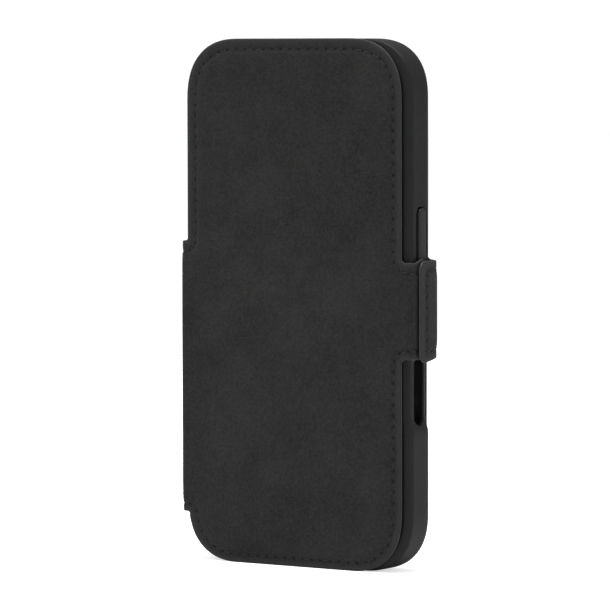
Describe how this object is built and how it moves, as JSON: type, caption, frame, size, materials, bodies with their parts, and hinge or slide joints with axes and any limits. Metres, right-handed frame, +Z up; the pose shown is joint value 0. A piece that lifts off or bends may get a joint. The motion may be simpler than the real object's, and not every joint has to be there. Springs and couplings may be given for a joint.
{
  "type": "phone wallet case",
  "caption": "Folio wallet case for a phone: a moulded shell, a stitched leather cover on a folding spine with card pockets, and a side closure strap over the cover's tab.",
  "frame": {"origin": "under the middle of the closed case, on its lower edge", "axes": "+Z up along the case's height, -Y out of the front cover, +X towards the side with the closure strap and the power key"},
  "size_m": [0.0826, 0.0144, 0.155],
  "materials": {
    "leather": "matte charcoal nubuck with a fine mottled grain and tone-on-tone stitching",
    "shell": "soft-touch matte charcoal moulding",
    "key": "smooth matte charcoal",
    "microfibre": "short-napped microfibre",
    "board": "pressed fibre board",
    "foam": "thin closed-cell foam",
    "adhesive": "double-sided film",
    "steel": "thin rolled strip",
    "magnet": "nickel plated"
  },
  "bodies": {
    "shell_and_back": {"phone_shell": "shell", "shell_lining": "microfibre", "back_bond_sheet": "adhesive", "back_leather": "leather"},
    "spine": {"spine_leather": "leather", "spine_board": "board", "spine_lining": "microfibre"},
    "cover": {"cover_leather": "leather", "cover_foam": "foam", "cover_board": "board", "cover_lining": "microfibre", "note_pocket": "leather", "card_pocket_upper": "leather", "card_pocket_middle": "leather", "card_pocket_lower": "leather", "tab_lining": "microfibre", "tab_steel_plate": "steel"},
    "strap": {"strap_leather": "leather", "strap_stiffener": "board", "strap_magnet_upper": "magnet", "strap_magnet_lower": "magnet", "strap_lining": "microfibre"},
    "power_key": {"power_button": "key"},
    "volume_up_key": {"volume_up_button": "key"},
    "volume_down_key": {"volume_down_button": "key"},
    "action_key": {"action_button": "key"}
  },
  "joints": [
    {"name": "spine_fold", "type": "hinge", "parent": "shell_and_back", "child": "spine", "pos_m": [-0.04051, 0.00642, 0.0547], "axis": [0, 0, -1], "range_deg": [0, 179]},
    {"name": "cover_fold", "type": "hinge", "parent": "spine", "child": "cover", "pos_m": [-0.04051, -0.00642, 0.0547], "axis": [0, 0, -1], "range_deg": [0, 179]},
    {"name": "strap_fold", "type": "hinge", "parent": "shell_and_back", "child": "strap", "pos_m": [0.03981, 0.00571, 0.0769], "axis": [0, 0, 1], "range_deg": [0, 150]},
    {"name": "power_press", "type": "slide", "parent": "shell_and_back", "child": "power_key", "axis": [-1, 0, 0], "range_m": [0, 0.0004], "stiffness_N_per_m": 3000},
    {"name": "volume_up_press", "type": "slide", "parent": "shell_and_back", "child": "volume_up_key", "axis": [1, 0, 0], "range_m": [0, 0.0004], "stiffness_N_per_m": 3000},
    {"name": "volume_down_press", "type": "slide", "parent": "shell_and_back", "child": "volume_down_key", "axis": [1, 0, 0], "range_m": [0, 0.0004], "stiffness_N_per_m": 3000},
    {"name": "action_press", "type": "slide", "parent": "shell_and_back", "child": "action_key", "axis": [1, 0, 0], "range_m": [0, 0.0004], "stiffness_N_per_m": 3000}
  ]
}
